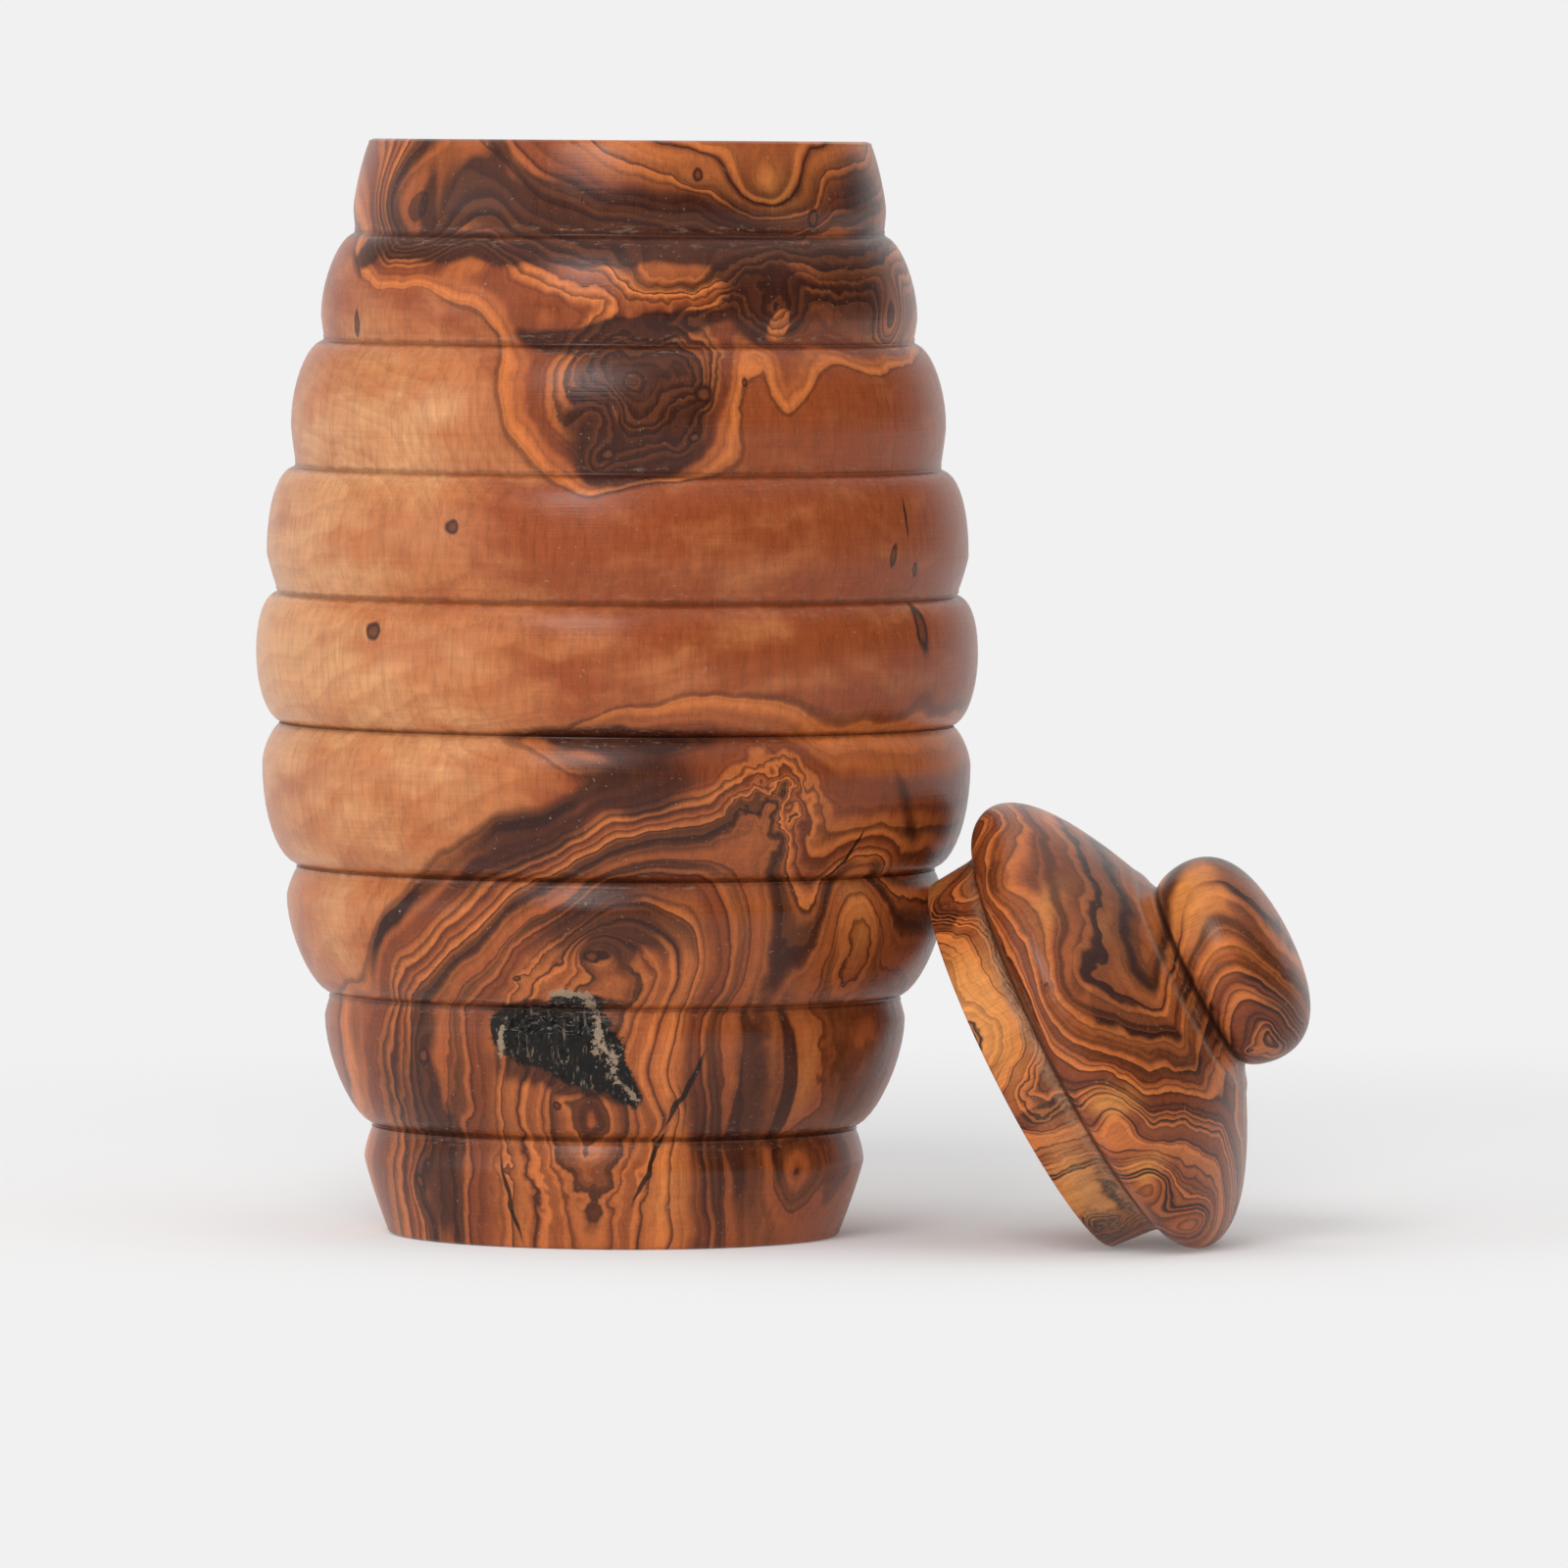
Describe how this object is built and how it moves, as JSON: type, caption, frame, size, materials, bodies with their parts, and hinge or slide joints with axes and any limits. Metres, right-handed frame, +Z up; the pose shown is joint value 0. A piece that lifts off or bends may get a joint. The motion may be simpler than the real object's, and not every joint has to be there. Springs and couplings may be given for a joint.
{
  "type": "honey pot",
  "caption": "Turned wooden honey pot shaped like a beehive of stacked rings, hollowed from the top, with a domed, knobbed lid lying beside it.",
  "frame": {"origin": "middle of the jar's flat base, where it stands, on the jar's turning axis", "axes": "+Z up along the jar's axis, out of its mouth; +X towards the lid, which lies on the same surface; -Y towards the viewer"},
  "size_m": [0.1249, 0.0867, 0.13],
  "materials": {
    "jar_wood": "oiled figured olive wood, satin, dark heartwood lines over orange-brown, with a pale sapwood side",
    "lid_wood": "oiled figured olive wood, satin, redder than the jar, with dark growth lines"
  },
  "bodies": {
    "jar": {"jar": "jar_wood"},
    "lid": {"lid": "lid_wood"}
  },
  "joints": [
    {"name": "lid_lift", "type": "slide", "parent": "jar", "child": "lid", "axis": [0.4226, 0, 0.9063], "range_m": [0, 0.16]}
  ]
}
